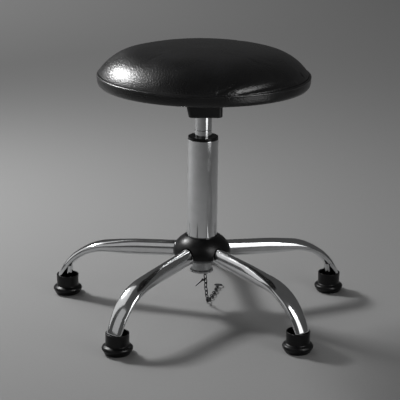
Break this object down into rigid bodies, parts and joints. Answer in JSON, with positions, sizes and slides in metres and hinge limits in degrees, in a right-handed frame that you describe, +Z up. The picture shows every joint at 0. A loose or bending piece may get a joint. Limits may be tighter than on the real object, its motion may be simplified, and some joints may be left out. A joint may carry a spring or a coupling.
{
  "type": "laboratory stool",
  "caption": "Backless round laboratory stool: domed black seat on a gas lift, chromed bent-tube leg base with cup glides and an earthing chain under the hub.",
  "frame": {"origin": "on the floor, on the vertical axis of the column and the seat's swivel", "axes": "+Z up, +Y along one leg, +X to the right when the stool is seen from -Y, along the release lever"},
  "size_m": [0.5032, 0.4809, 0.4453],
  "materials": {
    "chromed_steel": "bright chrome plate",
    "zinc_plated_steel": "dull bright zinc plate",
    "bearing_steel": "ground steel",
    "black_painted_steel": "satin black paint",
    "black_plastic": "smooth moulded, half gloss",
    "acetal_plastic": "machined, matt",
    "black_rubber": "matt",
    "stained_plywood": "black stained board",
    "conductive_leather": "smooth coated, soft gloss"
  },
  "bodies": {
    "base": {"hub_sleeve": "zinc_plated_steel", "hub_cover": "black_plastic", "leg_1": "chromed_steel", "leg_2": "chromed_steel", "leg_3": "chromed_steel", "leg_4": "chromed_steel", "leg_5": "chromed_steel", "glide_1": "black_plastic", "glide_2": "black_plastic", "glide_3": "black_plastic", "glide_4": "black_plastic", "glide_5": "black_plastic", "column_tube": "chromed_steel", "guide_bush": "black_plastic", "column_plug": "zinc_plated_steel", "ring_nut": "zinc_plated_steel", "bearing_race_lower": "bearing_steel", "chain_eye": "zinc_plated_steel", "chain_link_01": "zinc_plated_steel", "chain_link_02": "zinc_plated_steel", "chain_link_03": "zinc_plated_steel", "chain_link_04": "zinc_plated_steel", "chain_link_05": "zinc_plated_steel", "chain_link_06": "zinc_plated_steel", "chain_link_07": "zinc_plated_steel", "chain_link_08": "zinc_plated_steel", "chain_link_09": "zinc_plated_steel", "chain_link_10": "zinc_plated_steel", "chain_link_11": "zinc_plated_steel", "chain_link_12": "zinc_plated_steel", "chain_link_13": "zinc_plated_steel", "chain_link_14": "zinc_plated_steel", "chain_link_15": "zinc_plated_steel", "chain_link_16": "zinc_plated_steel", "chain_link_17": "zinc_plated_steel", "chain_link_18": "zinc_plated_steel", "chain_end_ring": "zinc_plated_steel", "cable_tie": "black_plastic"},
    "cage": {"bearing_cage": "bearing_steel"},
    "spindle": {"piston_rod": "chromed_steel", "piston": "acetal_plastic", "bearing_race_upper": "bearing_steel", "rod_clip": "zinc_plated_steel", "end_buffer": "black_rubber"},
    "seat": {"lift_cylinder": "chromed_steel", "rod_guide": "acetal_plastic", "taper_socket": "zinc_plated_steel", "mechanism_housing": "black_painted_steel", "seat_plate": "black_painted_steel", "seat_board": "stained_plywood", "seat_cushion": "conductive_leather", "seat_piping": "conductive_leather", "seat_bolt_1": "zinc_plated_steel", "seat_bolt_2": "zinc_plated_steel", "seat_bolt_3": "zinc_plated_steel", "seat_bolt_4": "zinc_plated_steel", "lever_pin": "zinc_plated_steel"},
    "lever": {"release_lever": "zinc_plated_steel", "lever_grip": "black_plastic"},
    "button": {"release_button": "zinc_plated_steel"}
  },
  "joints": [
    {"name": "seat_swivel", "type": "hinge", "parent": "base", "child": "spindle", "pos_m": [0, 0, 0.1], "axis": [0, 0, 1], "continuous": true},
    {"name": "bearing_roll", "type": "hinge", "parent": "base", "child": "cage", "pos_m": [0, 0, 0.1], "axis": [0, 0, 1], "continuous": true},
    {"name": "seat_lift", "type": "slide", "parent": "spindle", "child": "seat", "axis": [0, 0, 1], "range_m": [0, 0.12]},
    {"name": "lever_pull", "type": "hinge", "parent": "seat", "child": "lever", "pos_m": [0.02, 0, 0.371], "axis": [0, -1, 0], "range_deg": [0, 6], "stiffness_Nm_per_rad": 1.5, "springref_deg": -5.73},
    {"name": "button_press", "type": "slide", "parent": "seat", "child": "button", "axis": [0, 0, -1], "range_m": [0, 0.0022]}
  ],
  "couplings": [
    {"joint": "bearing_roll", "follows": "seat_swivel", "ratio": 0.5},
    {"joint": "button_press", "follows": "lever_pull", "m_per_rad": 0.02}
  ]
}
